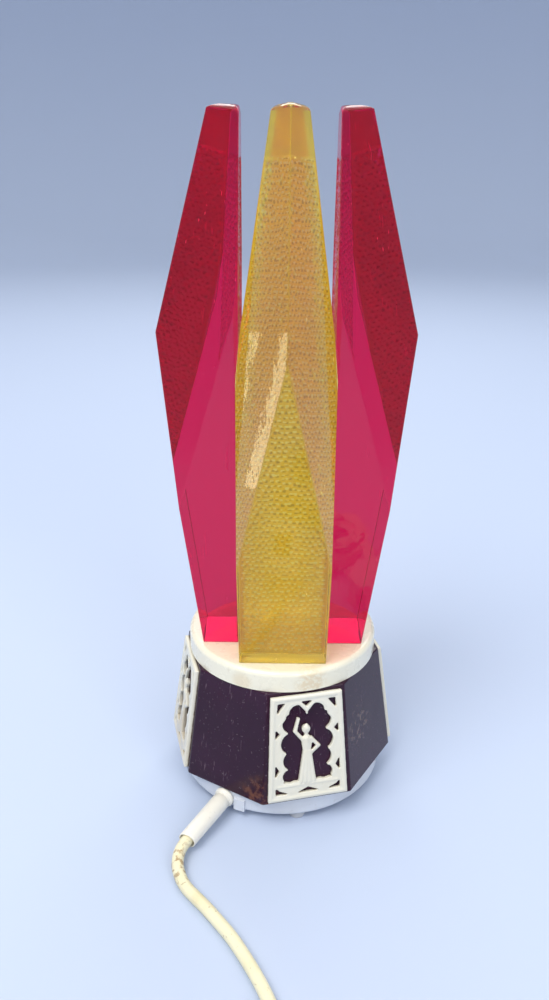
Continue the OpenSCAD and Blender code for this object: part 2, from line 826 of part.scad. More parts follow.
base_tray();
feet();
skirt();
top_plate();
petal_front();
petal_right();
petal_back();
petal_left();
plaque_front();
plaque_right();
plaque_back();
plaque_left();
tie_rods();
tie_nuts();
holder_bracket();
bracket_screws();
holder_nipple();
nipple_nut();
holder_body();
holder_insert();
holder_shell();
centre_contact();
bulb_glass();
bulb_cap();
bulb_mount();
cord_clamp();
clamp_screws();
inner_cord();
inner_wires();
cord_gland();
cord_sleeve();
cord_front();
cord_middle();
cord_coil();
cord_tail();
cord_tie();
switch_base();
switch_cover();
switch_rocker();
switch_pin();
switch_screws();
switch_contacts();
plug_lower();
plug_upper();
plug_pins();
plug_screw();
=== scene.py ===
"""The looks of the table night lamp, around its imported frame. Metres, +Z up, front towards -Y."""

import json
import math
import random

import bmesh
import bpy
from mathutils import Matrix, Vector, noise
from mathutils.geometry import delaunay_2d_cdt


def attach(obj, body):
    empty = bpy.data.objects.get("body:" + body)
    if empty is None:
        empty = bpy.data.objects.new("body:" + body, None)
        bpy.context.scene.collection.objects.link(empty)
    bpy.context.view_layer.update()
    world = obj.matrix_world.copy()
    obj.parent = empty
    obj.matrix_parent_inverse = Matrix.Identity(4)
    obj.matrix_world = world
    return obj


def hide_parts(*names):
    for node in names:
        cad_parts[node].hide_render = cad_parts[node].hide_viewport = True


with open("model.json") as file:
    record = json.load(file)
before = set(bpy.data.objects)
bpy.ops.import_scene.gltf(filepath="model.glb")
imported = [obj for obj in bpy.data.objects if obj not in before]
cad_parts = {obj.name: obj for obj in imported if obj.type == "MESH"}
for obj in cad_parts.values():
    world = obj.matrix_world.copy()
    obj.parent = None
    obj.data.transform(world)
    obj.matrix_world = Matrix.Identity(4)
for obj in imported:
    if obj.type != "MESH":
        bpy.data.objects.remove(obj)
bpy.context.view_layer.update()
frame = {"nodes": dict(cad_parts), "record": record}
scene = bpy.context.scene
MM = 0.001
BODY = "lamp"
# Painted light: this attribute places a painted glint and painted shade on each bubble, and a painted
# glow on the foot face.
BUBBLE_GLINT = "bubble"  # the mesh attribute that says on which side of a cast bubble a point lies


# ---- Small helpers ----------------------------------------------------------------------

def link(name, data):
    """Puts new mesh or curve data in the scene as an object."""
    piece = bpy.data.objects.new(name, data)
    scene.collection.objects.link(piece)
    return piece


def mesh_of(name, bm):
    """Turns a bmesh into a mesh and frees it."""
    mesh = bpy.data.meshes.new(name)
    bm.to_mesh(mesh)
    bm.free()
    return mesh


def turned(azimuth):
    """Turns a thing that faces the front to an azimuth, in degrees."""
    return Matrix.Rotation(math.radians(azimuth), 4, "Z")


def spot(azimuth, radius, height):
    """A point in metres from an azimuth and millimetres."""
    return turned(azimuth) @ Vector((0, -radius * MM, height * MM))


def smooth(mesh, angle):
    """Smooth shading, with edges sharper than the angle kept."""
    mesh.polygons.foreach_set("use_smooth", [True] * len(mesh.polygons))
    mesh.set_sharp_from_angle(angle=math.radians(angle))


def finished(piece, materials, nodes, body=BODY):
    """Gives a new piece its materials, slot and body, and hides the CAD nodes it stands for."""
    for material in materials if isinstance(materials, tuple) else (materials,):
        piece.data.materials.append(material)
    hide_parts(*nodes)
    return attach(piece, body)


def weighted(piece):
    """Keeps large flat faces flat beside their rounded edges."""
    mod = piece.modifiers.new("normals", "WEIGHTED_NORMAL")
    mod.keep_sharp = True
    mod.weight = 90


def crisp_edges(bm, angle):
    """The edges whose two faces meet at more than an angle in degrees."""
    limit = math.radians(angle)
    return [e for e in bm.edges if len(e.link_faces) == 2 and e.calc_face_angle(0) > limit]


def rounded(bm, edges, width, segments):
    """Rounds edges of a bmesh, in its own units."""
    bmesh.ops.bevel(
        bm, geom=edges, offset=width, segments=segments, profile=0.5, affect="EDGES", clamp_overlap=True
    )


def circle(radius, height, steps):
    """Points spaced evenly round the Z axis."""
    return [
        (radius * math.cos(2 * math.pi * j / steps), radius * math.sin(2 * math.pi * j / steps), height)
        for j in range(steps)
    ]


def bridge(bm, low, high):
    """Faces between two rings of the same number of points."""
    count = len(low)
    for j in range(count):
        bm.faces.new([low[j], low[(j + 1) % count], high[(j + 1) % count], high[j]])


def rings_mesh(name, rings):
    """A tube in metres through rings in millimetres, closed back on itself."""
    bm = bmesh.new()
    rows = [[bm.verts.new(p) for p in ring] for ring in rings]
    for low, high in zip(rows, rows[1:] + rows[:1]):
        bridge(bm, low, high)
    bmesh.ops.recalc_face_normals(bm, faces=bm.faces)
    bmesh.ops.scale(bm, vec=(MM, MM, MM), verts=bm.verts)
    return mesh_of(name, bm)


# ---- Materials --------------------------------------------------------------------------

ACRYLIC_IOR = 1.47
CLEAR_SHARE = 0.96

class Look:
    """A node material in the making, around one Principled shader."""

    def __init__(self, name, colour, rough, metal=0.0, coat=0.0, ior=1.5):
        self.material = bpy.data.materials.new(name)
        self.material.use_nodes = True
        self.tree = self.material.node_tree
        self.shader = self.tree.nodes["Principled BSDF"]
        self.place = self.add("ShaderNodeTexCoord").outputs["Object"]
        self.set("Base Color", (*colour, 1))
        self.set("Roughness", rough)
        self.set("Metallic", metal)
        self.set("Coat Weight", coat)
        self.set("IOR", ior)
        self.colour = self.shader.inputs["Base Color"]
        self.height = None

    def add(self, kind, inputs=None, **props):
        """A new node, with its properties set, and its inputs set or linked."""
        node = self.tree.nodes.new(kind)
        for key, value in props.items():
            setattr(node, key, value)
        for key, value in (inputs or {}).items():
            if isinstance(value, bpy.types.NodeSocket):
                self.tree.links.new(value, node.inputs[key])
            else:
                node.inputs[key].default_value = value
        return node

    def set(self, key, value):
        """Sets or links one of the shader's own sockets."""
        if isinstance(value, bpy.types.NodeSocket):
            self.tree.links.new(value, self.shader.inputs[key])
        else:
            self.shader.inputs[key].default_value = value

    def stretched(self, scale, turn=(0, 0, 0)):
        """Object coordinates, turned in degrees and scaled along each axis."""
        return self.add("ShaderNodeMapping", {
            "Vector": self.place, "Scale": scale, "Rotation": [math.radians(a) for a in turn]
        }).outputs["Vector"]

    def noise(self, scale, detail, where=None, rough=0.55):
        """Noise of a scale in waves per metre, from 0 to 1."""
        return self.add("ShaderNodeTexNoise", {
            "Vector": where or self.place, "Scale": scale, "Detail": detail, "Roughness": rough
        }).outputs["Fac"]

    def ramp(self, value, low, high):
        """0 below low, 1 above high, smooth between."""
        return self.add("ShaderNodeMapRange", {
            "Value": value, "From Min": low, "From Max": high
        }, interpolation_type="SMOOTHSTEP").outputs["Result"]

    def math(self, how, a, b):
        """One step of arithmetic on two sockets or numbers."""
        return self.add("ShaderNodeMath", {0: a, 1: b}, operation=how).outputs[0]

    def near(self, point, inner, outer):
        """1 within inner metres of a point, 0 beyond outer metres."""
        gap = self.add("ShaderNodeVectorMath", {0: self.place, 1: point}, operation="DISTANCE")
        return self.ramp(gap.outputs["Value"], outer, inner)

    def paint(self, mask, colour, amount=1.0):
        """Mixes a colour over the base colour where the mask is 1."""
        mix = self.add("ShaderNodeMix", data_type="RGBA")
        self.tree.links.new(self.math("MULTIPLY", mask, amount), mix.inputs["Factor"])
        if self.colour.is_linked:
            self.tree.links.new(self.colour.links[0].from_socket, mix.inputs["A"])
        else:
            mix.inputs["A"].default_value = self.colour.default_value
        mix.inputs["B"].default_value = (*colour, 1)
        self.tree.links.new(mix.outputs["Result"], self.colour)

    def rougher(self, value, low, high):
        """Roughness that follows a 0 to 1 value."""
        self.set("Roughness", self.add("ShaderNodeMapRange", {
            "Value": value, "To Min": low, "To Max": high
        }).outputs["Result"])

    def bump(self, value, depth, strength):
        """Adds relief of a depth in metres."""
        inputs = {"Height": value, "Distance": depth, "Strength": strength}
        if self.height:
            inputs["Normal"] = self.height
        self.height = self.add("ShaderNodeBump", inputs).outputs["Normal"]
        self.set("Normal", self.height)

    def scratches(self, turn, scale=(900, 900, 26), cover=(0.66, 0.72)):
        """Fine broken lines that run along one direction."""
        lines = self.ramp(self.noise(1.0, 2, self.stretched(scale, turn), 0.6), *cover)
        patches = self.ramp(self.noise(60, 2), 0.45, 0.6)
        return self.math("MULTIPLY", lines, patches)

    def patch(self, point, inner, outer, scale, detail, low, high):
        """A broken patch of noise around a point."""
        return self.math(
            "MULTIPLY", self.near(point, inner, outer), self.ramp(self.noise(scale, detail), low, high)
        )


def plastic(name, colour, dirt, rough, coat=0.25, mottle=0.25):
    """Moulded plastic: faint mottling, handling marks, a little grime and fine grain."""
    look = Look(name, colour, rough, coat=coat)
    look.set("Coat Roughness", 0.12)
    look.paint(look.ramp(look.noise(38, 5), 0.35, 0.75), dirt, mottle)
    look.paint(look.ramp(look.noise(420, 3), 0.62, 0.74), [c * 0.6 for c in dirt], mottle * 0.5)
    look.rougher(look.noise(150, 4), rough * 0.75, rough * 1.35)
    look.bump(look.noise(1400, 3), 0.00004, 0.35)
    look.bump(look.noise(90, 2), 0.0003, 0.12)
    return look


def metal(name, colour, rough, brushed=(1, 1, 1)):
    """Plated or bare metal, dulled in patches, with a grain that may run one way."""
    look = Look(name, colour, rough, metal=1.0)
    grain = look.noise(1500, 3, look.stretched(brushed))
    look.paint(look.ramp(look.noise(260, 4), 0.45, 0.75), [c * 0.55 for c in colour], 0.55)
    look.rougher(grain, rough * 0.7, rough * 1.4)
    look.bump(grain, 0.00003, 0.3)
    return look


def acrylic(name, tint):
    """Clear cast acrylic with hairline scratches and a little dust."""
    look = Look(name, tint, 0.02, ior=ACRYLIC_IOR)
    look.set("Transmission Weight", CLEAR_SHARE)
    marks = look.scratches((12, 8, 0))
    more = look.scratches((-20, 25, 0), (1300, 1300, 40), (0.68, 0.74))
    both = look.math("MAXIMUM", marks, more)
    dust = look.ramp(look.noise(700, 3), 0.66, 0.78)
    look.rougher(look.math("MAXIMUM", both, look.math("MULTIPLY", dust, 0.5)), 0.012, 0.30)
    look.bump(both, 0.00004, 0.5)
    look.bump(look.noise(55, 2), 0.0005, 0.10)
    look.bump(look.noise(210, 2), 0.0003, 0.12)
    return look.material


def hammered(name, tint, glint, foot, clear):
    """The acrylic of the cast inner face, with a painted glint on the lower side of each bubble, painted
    shade on its upper side, and painted light in the foot colour towards the foot.
    """
    look = Look(name, tint, 0.2, ior=ACRYLIC_IOR)
    look.set("Transmission Weight", clear)
    bubble = look.add("ShaderNodeAttribute", attribute_name=BUBBLE_GLINT).outputs["Fac"]
    look.paint(look.ramp(look.noise(30, 3), 0.4, 0.7), [c * 0.8 for c in tint], 0.4)
    # Painted shade on the upper side of each bubble.
    look.paint(look.ramp(bubble, -0.2, -0.8), [c * 0.40 for c in tint], 0.85)
    height = look.add("ShaderNodeSeparateXYZ", {"Vector": look.place}).outputs["Z"]
    # Painted light towards the foot: the foot colour over the lower part, fully below 78 mm and gone by
    # 150 mm.
    look.paint(look.ramp(height, 0.150, 0.078), foot, 0.7)
    # Painted highlight: a glint on the lower side of each bubble, and a painted glow on the foot face.
    look.paint(look.ramp(bubble, 0.20, 0.60), glint)
    look.rougher(look.noise(260, 3), 0.06, 0.26)
    look.bump(look.noise(900, 3), 0.00008, 0.4)
    return look.material


def cream_plate():
    """Yellowed cream with two tan stains on the rim and small brown specks."""
    look = plastic("cream_plate_look", (0.84, 0.79, 0.62), (0.78, 0.70, 0.50), 0.26, 0.45, 0.22)
    look.paint(look.patch(spot(17, 41.4, 67), 0.003, 0.009, 650, 3, 0.3, 0.6), (0.66, 0.46, 0.20), 0.5)
    look.paint(look.near(spot(-24, 41.4, 66), 0.002, 0.006), (0.66, 0.50, 0.26), 0.4)
    look.paint(look.ramp(look.noise(240, 5), 0.68, 0.76), (0.50, 0.38, 0.20), 0.22)
    return look.material


def cream_plaque():
    """Cast cream, painted darker brown in its hollows."""
    look = plastic("cream_plaque_look", (0.74, 0.71, 0.59), (0.72, 0.64, 0.46), 0.34, 0.30, 0.25)
    # Darker brown where the surface is hollow, found by ambient occlusion and broken up by noise.
    cavity = look.add("ShaderNodeAmbientOcclusion", {"Distance": 0.0016}, samples=8, inside=False)
    hollow = look.ramp(cavity.outputs["AO"], 0.75, 0.30)
    look.paint(look.math("MULTIPLY", hollow, look.noise(300, 3)), (0.33, 0.22, 0.11), 1.0)
    look.paint(look.near(spot(-76, 48, 22), 0.006, 0.022), (0.40, 0.27, 0.13), 0.35)
    return look.material


def aubergine():
    """Glossy dark purple with scuffs, scratches, dust and a worn brown patch."""
    look = Look("aubergine_look", (0.022, 0.003, 0.016), 0.16, coat=0.10)
    look.set("Coat Roughness", 0.07)
    look.set("Specular IOR Level", 0.25)
    look.paint(look.ramp(look.noise(30, 4), 0.4, 0.8), (0.034, 0.004, 0.024), 0.7)
    long_marks = look.scratches((70, 0, 59))
    cross_marks = look.scratches((20, 30, 59), (1100, 1100, 60), (0.67, 0.73))
    marks = look.math("MAXIMUM", long_marks, cross_marks)
    look.paint(marks, (0.20, 0.13, 0.16), 0.45)
    worn = look.patch(spot(-11, 48.5, 16), 0.002, 0.011, 330, 5, 0.42, 0.66)
    look.paint(worn, (0.20, 0.07, 0.03), 0.8)
    look.paint(look.patch(spot(50, 45, 37), 0.004, 0.015, 420, 5, 0.50, 0.66), (0.22, 0.15, 0.12), 0.5)
    dust = look.ramp(look.noise(900, 2), 0.66, 0.72)
    look.paint(dust, (0.22, 0.17, 0.19), 0.30)
    wear = look.math("MAXIMUM", marks, look.math("MAXIMUM", worn, dust))
    look.rougher(wear, 0.14, 0.55)
    look.bump(look.math("MULTIPLY", marks, -1.0), 0.00005, 0.5)
    look.bump(look.noise(48, 2), 0.0006, 0.10)
    return look.material


def cord_pvc():
    """Soft cream sheath with stains and a few dark rub marks near its bend."""
    look = Look("cord_pvc_look", (0.80, 0.74, 0.50), 0.42, coat=0.12)
    look.set("Subsurface Weight", 0.08)
    look.set("Subsurface Radius", (0.004, 0.003, 0.002))
    look.paint(look.ramp(look.noise(70, 5), 0.45, 0.75), (0.66, 0.56, 0.30), 0.55)
    look.paint(look.ramp(look.noise(520, 3), 0.64, 0.74), (0.30, 0.21, 0.10), 0.55)
    bend = look.patch((-0.041, -0.076, 0.005), 0.004, 0.014, 450, 4, 0.5, 0.62)
    look.paint(bend, (0.36, 0.22, 0.09), 0.8)
    look.rougher(look.noise(300, 3), 0.32, 0.55)
    look.bump(look.noise(1100, 3), 0.00006, 0.3)
    look.bump(look.noise(160, 2), 0.0004, 0.16)
    return look.material


def tray_plastic():
    """Milky blue-grey plastic that lets a little light in."""
    look = plastic("tray_plastic_look", (0.66, 0.69, 0.74), (0.46, 0.44, 0.40), 0.30, 0.30, 0.30)
    look.set("Subsurface Weight", 0.15)
    look.set("Subsurface Radius", (0.003, 0.003, 0.003))
    return look.material


def clear_glass():
    """The bulb's clear glass, with a few dull patches."""
    look = Look("bulb_glass_look", (0.97, 0.97, 0.96), 0.02, ior=1.45)
    look.set("Transmission Weight", 1.0)
    look.rougher(look.ramp(look.noise(400, 3), 0.6, 0.8), 0.01, 0.12)
    look.bump(look.noise(120, 2), 0.0002, 0.1)
    return look.material


def woven_strap():
    """The cord tie's dark woven strap."""
    look = Look("tie_look", (0.035, 0.035, 0.04), 0.75)
    thread = {"Vector": look.place, "Scale": 420.0, "Distortion": 0.6}
    warp, weft = (look.add("ShaderNodeTexWave", thread, bands_direction=axis) for axis in "XY")
    both = look.math("MULTIPLY", warp.outputs["Fac"], weft.outputs["Fac"])
    look.paint(both, (0.10, 0.10, 0.11), 0.7)
    look.bump(both, 0.0003, 0.6)
    look.set("Sheen Weight", 0.3)
    return look.material


LOOKS = {
    "amber_acrylic": (
        acrylic("amber_acrylic_look", (1.0, 0.87, 0.24)),
        hammered("amber_hammered_look", (1.0, 0.72, 0.06), (1.0, 0.95, 0.60), (1.0, 0.66, 0.06), 0.5),
    ),
    "ruby_acrylic": (
        acrylic("ruby_acrylic_look", (0.78, 0.005, 0.075)),
        hammered("ruby_hammered_look", (0.76, 0.02, 0.12), (0.98, 0.36, 0.50), (0.62, 0.02, 0.09), 0.6),
    ),
    "cream_plastic": cream_plate(),
    "plaque_plastic": cream_plaque(),
    "aubergine_plastic": aubergine(),
    "tray_plastic": tray_plastic(),
    "foot_plastic": plastic(
        "foot_plastic_look", (0.50, 0.51, 0.52), (0.34, 0.32, 0.30), 0.5, 0.0, 0.4
    ).material,
    "zinc_steel": metal("zinc_steel_look", (0.62, 0.62, 0.60), 0.34, (1, 1, 8)).material,
    "bakelite": plastic(
        "bakelite_look", (0.020, 0.016, 0.014), (0.06, 0.045, 0.035), 0.28, 0.3, 0.4
    ).material,
    "white_ceramic": plastic(
        "white_ceramic_look", (0.80, 0.78, 0.73), (0.62, 0.58, 0.50), 0.14, 0.7, 0.2
    ).material,
    "contact_brass": metal("contact_brass_look", (0.78, 0.56, 0.24), 0.32).material,
    "bulb_glass": clear_glass(),
    "cap_nickel": metal("cap_nickel_look", (0.66, 0.64, 0.60), 0.22).material,
    "filament_wire": metal("filament_wire_look", (0.40, 0.40, 0.40), 0.35).material,
    "cord_pvc": cord_pvc(),
    "wire_pvc": plastic("wire_pvc_look", (0.48, 0.03, 0.02), (0.30, 0.02, 0.02), 0.45, 0.0).material,
    "sleeve_plastic": plastic(
        "sleeve_plastic_look", (0.82, 0.79, 0.70), (0.60, 0.54, 0.40), 0.36, 0.15, 0.35
    ).material,
    "tie_plastic": woven_strap(),
    "switch_plastic": plastic(
        "switch_plastic_look", (0.80, 0.75, 0.60), (0.62, 0.52, 0.33), 0.28, 0.35
    ).material,
    "rocker_plastic": plastic(
        "rocker_plastic_look", (0.26, 0.018, 0.015), (0.14, 0.012, 0.010), 0.24, 0.4
    ).material,
    "pin_nickel": metal("pin_nickel_look", (0.70, 0.68, 0.62), 0.18, (1, 8, 1)).material,
}
SLOT_OF = {part["node"]: part["material_slot"] for part in frame["record"]["subparts"]}


def piece_for(name, mesh, node, body=BODY):
    """A new piece that stands for one CAD node."""
    return finished(link(name, mesh), LOOKS[SLOT_OF[node]], [node], body)


# ---- Camera -----------------------------------------------------------------------------

# Solved from the skirt's octagon and the plate's ellipse in the photo.
EYE = Vector((-3.03, -343.88, 274.87)) * MM
PITCH, YAW, ROLL = (math.radians(a) for a in (22.59, -0.18, 0.61))
FOCAL_PX = 877.84
FRAME_H_PX = 1000
SENSOR_H = 36.0

forward = Vector((math.sin(YAW) * math.cos(PITCH), math.cos(YAW) * math.cos(PITCH), -math.sin(PITCH)))
level = Vector((math.cos(YAW), -math.sin(YAW), 0))
upward = level.cross(forward)
cam_x = level * math.cos(ROLL) + upward * math.sin(ROLL)
cam_y = upward * math.cos(ROLL) - level * math.sin(ROLL)
cam_data = bpy.data.cameras.new("camera")
cam_data.sensor_fit = "VERTICAL"
cam_data.sensor_height = SENSOR_H
cam_data.lens = FOCAL_PX * SENSOR_H / FRAME_H_PX
cam_data.clip_start = 0.01
camera = link("camera", cam_data)
camera.matrix_world = Matrix.Translation(EYE) @ Matrix((cam_x, cam_y, -forward)).transposed().to_4x4()
scene.camera = camera


# ---- The cord ---------------------------------------------------------------------------

CORD_R = 2.5
FRONT_ROUTE = [
    (-34.5, -56, 5.9), (-38.7, -63, 5.1), (-41, -68.5, 4.4), (-41.3, -74, 3.5), (-39.8, -79.5, 2.8),
    (-36.8, -85, 2.5), (-33, -89.5, 2.5), (-28.5, -94.5, 2.5), (-23.2, -101, 2.5), (-18.2, -107.5, 2.5),
    (-14, -114, 2.5), (-10.2, -120.5, 2.5), (-7, -126.5, 2.5), (-4.2, -132.5, 2.5), (-1.6, -139.5, 3),
    (-0.3, -146, 4.2), (0, -152, 5)
]
SWITCH_ROUTE = [(0, -164, 5), (0, -177, 5), (0, -190, 5)]
MIDDLE_ROUTE = [
    (0, -202, 5), (0, -205.4, 4.6), (-0.1, -209, 3.8), (-0.3, -212.7, 3),
    (-0.5, -216.5, 2.6), (-1, -220.4, 2.5), (-1.6, -224.4, 2.5), (-2.4, -228.6, 2.5)
]
TAIL_ROUTE = [
    (58.5, -236, 17.1), (58.5, -230, 15.2), (58.5, -223, 12.2), (58.5, -216, 9.8), (58.5, -210, 8.7),
    (58.5, -206, 8.5), (58.5, -199, 8.5)
]
COIL_AT = (27, -241)
COIL_OUT_R, COIL_IN_R, COIL_LAYERS = 31.5, 21.5, 4
COIL_START, COIL_CLIMB = 165, 65
TURN_STEPS, CLIMB_STEPS = 16, 4


def coil_points():
    """Layers of turns, wound inwards and outwards by turns, with a short climb between two layers."""
    rows = []
    angle, radius, height = COIL_START, COIL_OUT_R, CORD_R
    turns = (COIL_OUT_R - COIL_IN_R) / (2 * CORD_R)
    steps = round(TURN_STEPS * turns)
    for layer in range(COIL_LAYERS):
        goal = COIL_IN_R if layer % 2 == 0 else COIL_OUT_R
        for k in range(steps):
            rows.append((angle + 360 * turns * k / steps, radius + (goal - radius) * k / steps, height))
        angle, radius = angle + 360 * turns, goal
        if layer == COIL_LAYERS - 1:
            rows.append((angle, radius, height))
            break
        for k in range(CLIMB_STEPS):
            t = k / CLIMB_STEPS
            rows.append((angle + COIL_CLIMB * t, radius, height + 2 * CORD_R * t * t * (3 - 2 * t)))
        angle, height = angle + COIL_CLIMB, height + 2 * CORD_R
    return [
        (COIL_AT[0] + r * math.cos(math.radians(a)), COIL_AT[1] + r * math.sin(math.radians(a)), z)
        for a, r, z in rows
    ]


def cord_piece():
    """The whole cord as one thick curve along the CAD route."""
    points = FRONT_ROUTE + SWITCH_ROUTE + MIDDLE_ROUTE + coil_points() + TAIL_ROUTE
    data = bpy.data.curves.new("cord", "CURVE")
    data.dimensions = "3D"
    data.resolution_u = 5
    data.bevel_depth = CORD_R * MM
    data.bevel_resolution = 5
    data.use_fill_caps = True
    spline = data.splines.new("BEZIER")
    spline.bezier_points.add(len(points) - 1)
    for knot, point in zip(spline.bezier_points, points):
        knot.co = Vector(point) * MM
        knot.handle_left_type = knot.handle_right_type = "AUTO"
    nodes = ["cord_front", "cord_middle", "cord_coil", "cord_tail"]
    return finished(link("cord", data), LOOKS["cord_pvc"], nodes)


cord = cord_piece()


# ---- Petals -----------------------------------------------------------------------------

DECK_Z, TIP_Z = 72.5, 285.0
IN_FOOT, IN_TIP, OUT_FOOT = 19.0, 18.0, 34.0
RIDGE, RIDGE_Z, RIDGE_TIP = 51.8, 203.0, 30.0
HALF_FOOT, HALF_RIDGE = 18.0, 19.7
LEAN_IN = (IN_FOOT - IN_TIP) / (TIP_Z - DECK_Z)
QUARTER_GAP = 0.3  # keeps a petal inside its own quarter, clear of its neighbours
LIFT = 0.06  # clear height between a petal's foot and the plate
CROWN = 0.16  # fall of the top to either side of its middle
CLEAR_TOP = 17.5  # height under the tip that has no bubbles
TOP_ROUND, EDGE_ROUND, TENON_ROUND = 1.5, 0.55, 0.4
BUBBLE_W, BUBBLE_H = 2.3, 2.0
BUBBLE_JITTER = 0.55  # how far a bubble strays from its place in the grid, in cells
BUBBLE_SKIN, BUBBLE_DEPTH = 0.10, 0.70
DOME_R2 = 0.55  # the square of a bubble's radius, in cells
NET_PITCH = 0.46


def plane(point, normal):
    """A flat side, as a point on it and its outward unit normal."""
    return Vector(point), Vector(normal).normalized()


def petal_planes(half_cut):
    """The petal's flat sides in mm, facing the front, with outward normals."""
    reach = RIDGE - IN_FOOT
    slope_u = half_cut / reach
    slope_z = slope_u * (RIDGE - RIDGE_TIP) / (TIP_Z - RIDGE_Z)
    flare = (HALF_RIDGE - HALF_FOOT) / (RIDGE_Z - DECK_Z)
    lean_out = (RIDGE - OUT_FOOT) / (RIDGE_Z - DECK_Z)
    planes = [
        plane((0, 0, DECK_Z + LIFT), (0, 0, -1)),
        plane((0, -IN_FOOT, DECK_Z), (0, 1, -LEAN_IN)),
        plane((0, -OUT_FOOT, DECK_Z), (0, -1, -lean_out)),
    ]
    for s in (-1, 1):
        planes.append(plane((0, 0, TIP_Z), (s * CROWN, 0, 1)))
        planes.append(plane((s * HALF_FOOT, 0, DECK_Z), (s, 0, -flare)))
        planes.append(plane((0, -RIDGE, RIDGE_Z), (s, -slope_u, slope_z)))
        planes.append(plane((0, -QUARTER_GAP, 0), (s, 1, 0)))
    return planes


def solid_from(planes):
    """The closed convex solid inside the planes, as a bmesh in mm."""
    corners = []
    count = len(planes)
    for i in range(count):
        for j in range(i + 1, count):
            for k in range(j + 1, count):
                rows = Matrix((planes[i][1], planes[j][1], planes[k][1]))
                if abs(rows.determinant()) < 1e-6:
                    continue
                here = rows.inverted() @ Vector([planes[m][0].dot(planes[m][1]) for m in (i, j, k)])
                within = all((here - p).dot(n) < 1e-4 for p, n in planes)
                if within and all((here - c).length > 1e-3 for c in corners):
                    corners.append(here)
    bm = bmesh.new()
    verts = [bm.verts.new(c) for c in corners]
    for point, normal in planes:
        ring = [v for v in verts if abs((v.co - point).dot(normal)) < 1e-3]
        if len(ring) < 3:
            continue
        middle = sum((v.co for v in ring), Vector()) / len(ring)
        across = (ring[0].co - middle).normalized()
        along = normal.cross(across)
        ring.sort(key=lambda v: math.atan2((v.co - middle).dot(along), (v.co - middle).dot(across)))
        bm.faces.new(ring)
    bmesh.ops.recalc_face_normals(bm, faces=bm.faces)
    return bm


def hammer(across, up, seed):
    """Depth in mm of the cast bubbles at a place on an inner face, and its side of a bubble, -1 to 1,
    which sets where the glint and the shade are painted.
    """
    if up > TIP_Z - CLEAR_TOP:
        return 0.0, 0.0
    bend = noise.noise_vector(Vector((across * 0.09, up * 0.09, seed)))
    u, v = across / BUBBLE_W + 0.5 * bend.x, up / BUBBLE_H + 0.5 * bend.y
    row = round(v)
    nearest, side = 9.0, 0.0
    for r in (row - 1, row, row + 1):
        shift = 0.5 * (r % 2)
        column = round(u - shift)
        for c in (column - 1, column, column + 1):
            draw = noise.cell_vector(Vector((c + 0.5, r + 0.5, seed + 0.5)))
            du = u - shift - c - BUBBLE_JITTER * (draw.x - 0.5)
            dv = v - r - BUBBLE_JITTER * (draw.y - 0.5)
            if du * du + dv * dv < nearest:
                nearest, side = du * du + dv * dv, -dv * max(0.0, 1.15 - (du / 0.42) ** 2)
    gap = math.sqrt(nearest)
    dome = math.sqrt(max(0.0, 1 - nearest / DOME_R2))
    rim = min(1.0, max(0.0, (gap - 0.16) / 0.18))
    return BUBBLE_SKIN + BUBBLE_DEPTH * dome, side / max(gap, 1e-6) * rim


def net_points(flat, seed):
    """Staggered rows of points over the box around an outline, each moved a little at random."""
    xs, zs = [p.x for p in flat], [p.y for p in flat]
    draw = random.Random(seed)
    points = []
    row = 0
    z = min(zs) + NET_PITCH * 0.8
    while z < max(zs) - NET_PITCH * 0.5:
        x = min(xs) + (NET_PITCH / 2 if row % 2 else 0)
        while x < max(xs):
            stray_x = draw.uniform(-0.1, 0.1) * NET_PITCH
            stray_z = draw.uniform(-0.1, 0.1) * NET_PITCH
            points.append(Vector((x + stray_x, z + stray_z)))
            x += NET_PITCH
        z += NET_PITCH * 0.87
        row += 1
    return points


def hammered_face(bm, face, seed):
    """Replaces the flat inner face by a fine net with bubbles in it, closed to its neighbours."""
    ring = list(face.verts)
    bm.faces.remove(face)
    flat = [Vector((v.co.x, v.co.z)) for v in ring]
    sides = list(zip(flat, flat[1:] + flat[:1]))
    way_round = 1 if sum(a.x * b.y - b.x * a.y for a, b in sides) > 0 else -1

    def inwards(p):
        """How far a point lies inside the outline."""
        return min(
            way_round * ((b.x - a.x) * (p.y - a.y) - (b.y - a.y) * (p.x - a.x)) / (b - a).length
            for a, b in sides if (b - a).length > 1e-6
        )

    count = len(flat)
    edges = [(i, (i + 1) % count) for i in range(count)]
    inside = [p for p in net_points(flat, seed) if inwards(p) >= NET_PITCH * 0.35]
    points, _, faces, origins, _, _ = delaunay_2d_cdt(flat + inside, edges, [], 1, 1e-5)
    glow = bm.verts.layers.float[BUBBLE_GLINT]
    made = []
    for p, source in zip(points, origins):
        if source and source[0] < count:
            made.append(ring[source[0]])
            continue
        at_rim = min(1.0, max(0.0, inwards(p) - 0.25) / 1.3)
        at_top = min(1.0, max(0.0, (TIP_Z - CLEAR_TOP - p.y) / 0.9))
        depth, side = hammer(p.x, p.y, seed)
        depth *= at_rim * at_top
        vert = bm.verts.new((p.x, -IN_FOOT + LEAN_IN * (p.y - DECK_Z) - depth, p.y))
        # This side sets the painted glint below each bubble and the painted shade above it.
        vert[glow] = side * at_rim * at_top
        made.append(vert)
    return [bm.faces.new([made[i] for i in tri]) for tri in faces]


def add_tenon(bm):
    """The block under a petal that stands in the plate's window."""
    low, high = DECK_Z - 6.5, DECK_Z - 0.05
    half, near, far = HALF_FOOT - 2.5, IN_FOOT + 2, OUT_FOOT - 2
    block = solid_from([
        plane((0, 0, low), (0, 0, -1)), plane((0, 0, high), (0, 0, 1)),
        plane((half, 0, 0), (1, 0, 0)), plane((-half, 0, 0), (-1, 0, 0)),
        plane((0, -near, 0), (0, 1, 0)), plane((0, -far, 0), (0, -1, 0)),
    ])
    rounded(block, list(block.edges), TENON_ROUND, 2)
    copy = mesh_of("tenon", block)
    bm.from_mesh(copy)
    bpy.data.meshes.remove(copy)


